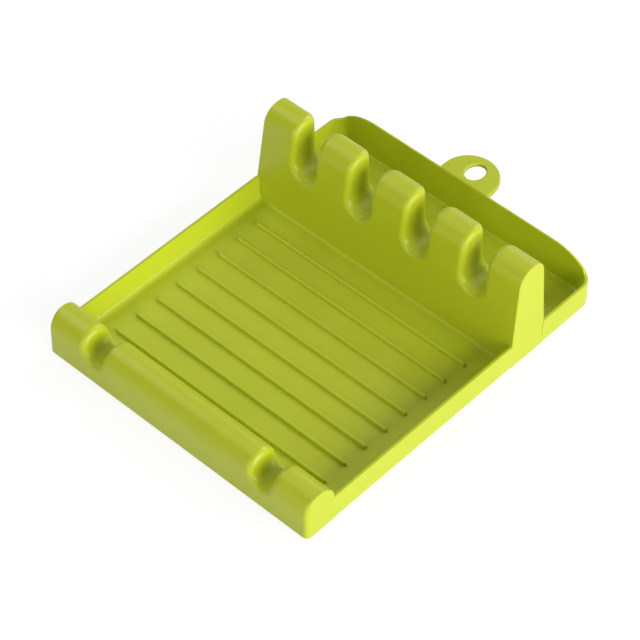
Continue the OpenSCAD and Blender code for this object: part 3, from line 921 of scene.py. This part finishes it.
class SPOONREST_OT_stage(bpy.types.Operator):
    """Set the floor, the lights and the camera"""

    bl_idname = "spoon_rest.stage"
    bl_label = "Stage"

    def execute(self, context):
        """A white sweep, a large soft lamp on the right, weaker ones all round, and the camera."""
        scene = context.scene
        look = values(scene.spoon_rest.look)
        scene.view_settings.view_transform = "Standard"
        mesh = bpy.data.meshes.new("sweep")
        corners = [(SWEEP_REACH * x, SWEEP_REACH * y) for x, y in ((-1, -1), (1, -1), (1, 1), (-1, 1))]
        mesh.from_pydata([(x, y, -SWEEP_DROP) for x, y in corners], [], [(0, 1, 2, 3)])
        sweep = bpy.data.objects.new("sweep", mesh)
        scene.collection.objects.link(sweep)
        mesh.materials.append(self.sweep_material(look))
        self.world(scene)
        for softbox in SOFTBOXES:
            self.lamp(*softbox)
        data = bpy.data.cameras.new("camera")
        data.sensor_width = CAMERA_SENSOR
        data.lens = CAMERA_LENS
        data.clip_start, data.clip_end = 0.05, 20.0
        camera = bpy.data.objects.new("camera", data)
        scene.collection.objects.link(camera)
        camera.location = CAMERA_PLACE
        level = cos(CAMERA_PITCH)
        back = Vector((sin(CAMERA_YAW) * level, -cos(CAMERA_YAW) * level, sin(CAMERA_PITCH)))
        camera.rotation_mode = "QUATERNION"
        camera.rotation_quaternion = (-back).to_track_quat("-Z", "Y")
        scene.camera = camera
        return {"FINISHED"}

    def sweep_material(self, look):
        """Matt white paper: near white to the camera, and greyer in the plastic's reflections."""
        material = bpy.data.materials.new("white_paper_sweep")
        material.use_nodes = True
        material.cycles.emission_sampling = "NONE"
        tree = material.node_tree
        tree.nodes.clear()
        path = add_node(tree, "ShaderNodeLightPath").outputs
        # Bounced light sees plain paper; other rays see it part lit from behind, with a faint shadow
        paper = add_node(tree, "ShaderNodeBsdfDiffuse", {"Color": linear(look.floor_white)})
        grey = (SHADOW_GREY, SHADOW_GREY, SHADOW_GREY, 1.0)
        shaded = add_node(tree, "ShaderNodeBsdfDiffuse", {"Color": grey})
        level = add_node(
            tree, "ShaderNodeMapRange",
            {"To Min": GLOW_IN_REFLECTIONS, "To Max": GLOW_TO_CAMERA},
            Value=path["Is Camera Ray"],
        )
        glow = add_node(tree, "ShaderNodeEmission", Strength=level.outputs["Result"])
        both = add_node(tree, "ShaderNodeAddShader")
        tree.links.new(shaded.outputs[0], both.inputs[0])
        tree.links.new(glow.outputs[0], both.inputs[1])
        mix = add_node(tree, "ShaderNodeMixShader", Fac=path["Is Diffuse Ray"])
        tree.links.new(both.outputs[0], mix.inputs[1])
        tree.links.new(paper.outputs[0], mix.inputs[2])
        add_node(tree, "ShaderNodeOutputMaterial", Surface=mix.outputs[0])
        return material

    def world(self, scene):
        """A dim white studio that only reflections see; the lamps give all the light."""
        world = bpy.data.worlds.new("studio")
        scene.world = world
        world.use_nodes = True
        world.cycles.sampling_method = "NONE"
        tree = world.node_tree
        tree.nodes.clear()
        path = add_node(tree, "ShaderNodeLightPath").outputs
        level = add_node(
            tree, "ShaderNodeMapRange",
            {"To Min": 0.0, "To Max": STUDIO_IN_REFLECTIONS},
            Value=path["Is Glossy Ray"],
        )
        studio = add_node(tree, "ShaderNodeBackground", Strength=level.outputs["Result"])
        studio.inputs["Color"].default_value = (1.0, 1.0, 1.0, 1.0)
        add_node(tree, "ShaderNodeOutputWorld", Surface=studio.outputs[0])

    def lamp(self, name, place, size, power):
        """A softbox of the given width and height that faces the object."""
        data = bpy.data.lights.new(name, "AREA")
        data.shape = "RECTANGLE"
        data.size, data.size_y = size
        data.energy = power
        lamp = bpy.data.objects.new(name, data)
        bpy.context.scene.collection.objects.link(lamp)
        lamp.location = place
        lamp.rotation_mode = "QUATERNION"
        lamp.rotation_quaternion = (-Vector(place)).to_track_quat("-Z", "Y")


STEPS = (
    SPOONREST_OT_floors,
    SPOONREST_OT_side_walls,
    SPOONREST_OT_back_wall,
    SPOONREST_OT_front_lip,
    SPOONREST_OT_comb,
    SPOONREST_OT_tab,
    SPOONREST_OT_ribs,
    SPOONREST_OT_stage,
)


class SPOONREST_PT_panel(bpy.types.Panel):
    """Lists the steps that build the spoon rest"""

    bl_idname = "SPOONREST_PT_panel"
    bl_label = "Spoon Rest"
    bl_space_type = "VIEW_3D"
    bl_region_type = "UI"
    bl_category = "Spoon Rest"

    def draw(self, context):
        """One button a step."""
        for step in STEPS:
            self.layout.operator(step.bl_idname)


CLASSES = (
    TraySizes, CombSizes, LipSizes, SmallSizes, PlasticLook, SpoonRest, *STEPS, SPOONREST_PT_panel
)


def register():
    """Adds the classes and the properties on the scene."""
    for cls in CLASSES:
        bpy.utils.register_class(cls)
    bpy.types.Scene.spoon_rest = bpy.props.PointerProperty(type=SpoonRest)


def unregister():
    """Takes the properties and the classes away again."""
    del bpy.types.Scene.spoon_rest
    for cls in reversed(CLASSES):
        bpy.utils.unregister_class(cls)


def main():
    """Builds every piece and the stage."""
    register()
    for step in STEPS:
        group, name = step.bl_idname.split(".")
        getattr(getattr(bpy.ops, group), name)()


if __name__ == "__main__":
    main()
